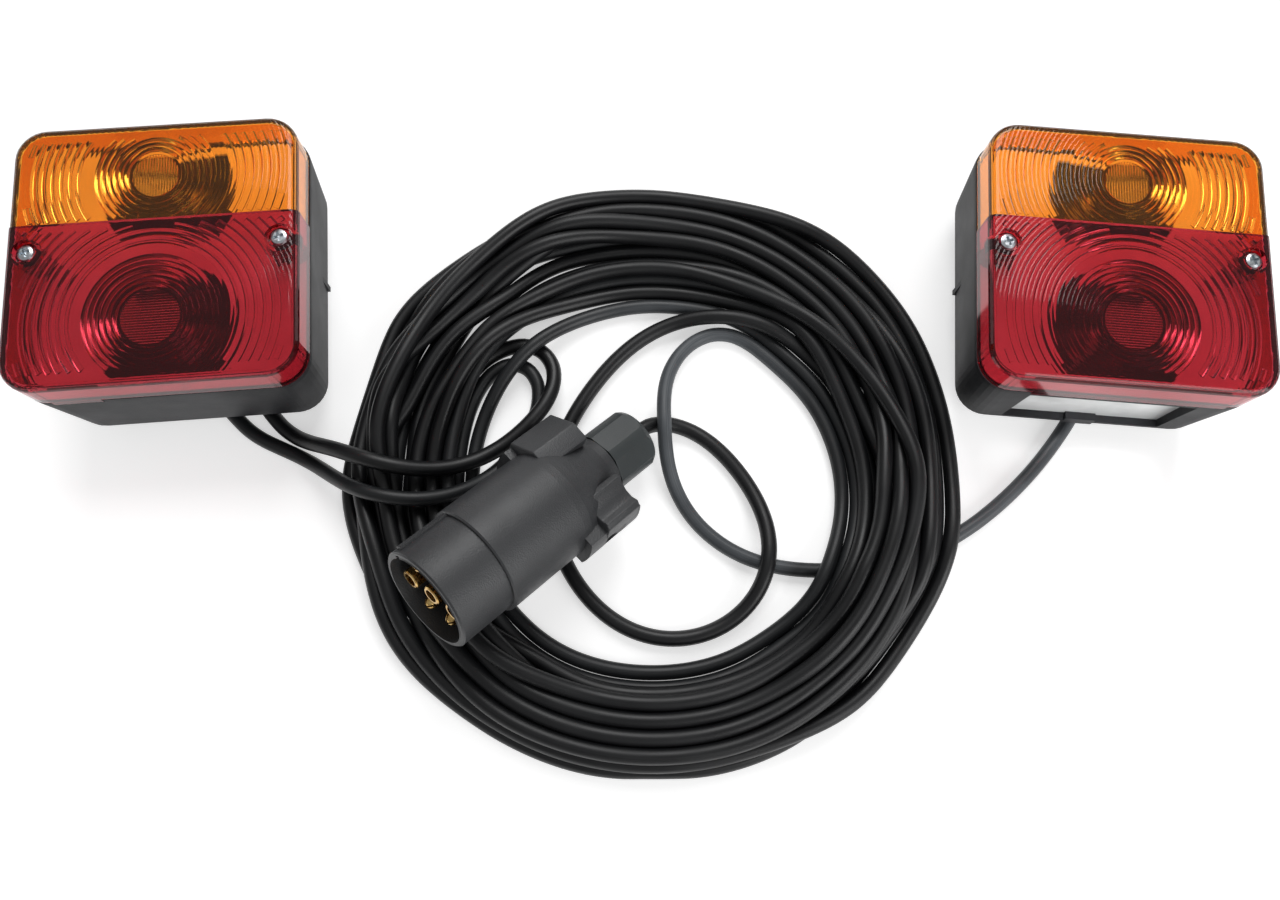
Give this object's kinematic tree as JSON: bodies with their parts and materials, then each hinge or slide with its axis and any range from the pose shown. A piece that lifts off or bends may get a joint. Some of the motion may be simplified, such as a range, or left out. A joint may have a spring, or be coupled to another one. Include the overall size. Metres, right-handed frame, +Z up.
{
  "type": "magnetic trailer light kit",
  "caption": "Pair of square combination rear lamps on magnets, wired together and to a round multi-pin plug, with both leads wound in one coil.",
  "frame": {"origin": "on the surface the lamps stand on, at the middle between the two lamps", "axes": "+X from the left lamp to the right lamp, +Y towards the amber ends, +Z up out of the lenses"},
  "size_m": [0.4648, 0.2405, 0.0676],
  "materials": {
    "housing": "fine satin grain",
    "amber_lens": "clear tinted, ribbed inside",
    "red_lens": "clear tinted, ribbed inside",
    "rubber": "satin",
    "zinc_steel": "bright zinc",
    "reflector": "pale, half gloss",
    "plated_steel": "plated",
    "brass": "turned",
    "bulb_glass": "clear",
    "cap_metal": "dull",
    "ferrite": "dark fired ferrite",
    "clear_window": "clear, lightly fluted",
    "plug_plastic": "satin",
    "carrier_plastic": "satin",
    "main_cable": "glossy soft jacket",
    "link_cable": "glossy soft jacket"
  },
  "bodies": {
    "root": {"left_housing": "housing", "left_lens_amber": "amber_lens", "left_lens_red": "red_lens", "left_lens_seal": "rubber", "left_lens_screws": "zinc_steel", "left_reflector": "reflector", "left_bulb_sockets": "plated_steel", "left_contact_strips": "brass", "left_indicator_glass": "bulb_glass", "left_indicator_cap": "cap_metal", "left_stop_glass": "bulb_glass", "left_stop_cap": "cap_metal", "left_magnet_cups": "plated_steel", "left_ring_magnets": "ferrite", "left_magnet_studs": "plated_steel", "left_stud_nuts": "plated_steel", "right_housing": "housing", "right_lens_amber": "amber_lens", "right_lens_red": "red_lens", "right_lens_seal": "rubber", "right_lens_screws": "zinc_steel", "right_reflector": "reflector", "right_bulb_sockets": "plated_steel", "right_contact_strips": "brass", "right_indicator_glass": "bulb_glass", "right_indicator_cap": "cap_metal", "right_stop_glass": "bulb_glass", "right_stop_cap": "cap_metal", "right_magnet_cups": "plated_steel", "right_ring_magnets": "ferrite", "right_magnet_studs": "plated_steel", "right_stud_nuts": "plated_steel", "left_cable_boots": "rubber", "right_cable_boot": "rubber", "right_blanking_grommet": "rubber", "plate_window": "clear_window", "window_clip": "plated_steel", "plug_barrel": "plug_plastic", "plug_body": "plug_plastic", "contact_carrier": "carrier_plastic", "contact_tubes": "brass", "contact_pins": "brass", "gland_nut": "plug_plastic", "gland_seal": "rubber", "carrier_screws": "zinc_steel", "cable_coil": "main_cable", "main_lead_plug_end": "main_cable", "main_lead_lamp_end": "main_cable", "link_lead_left": "link_cable", "link_lead_loop": "link_cable", "link_lead_right": "link_cable"}
  },
  "joints": []
}
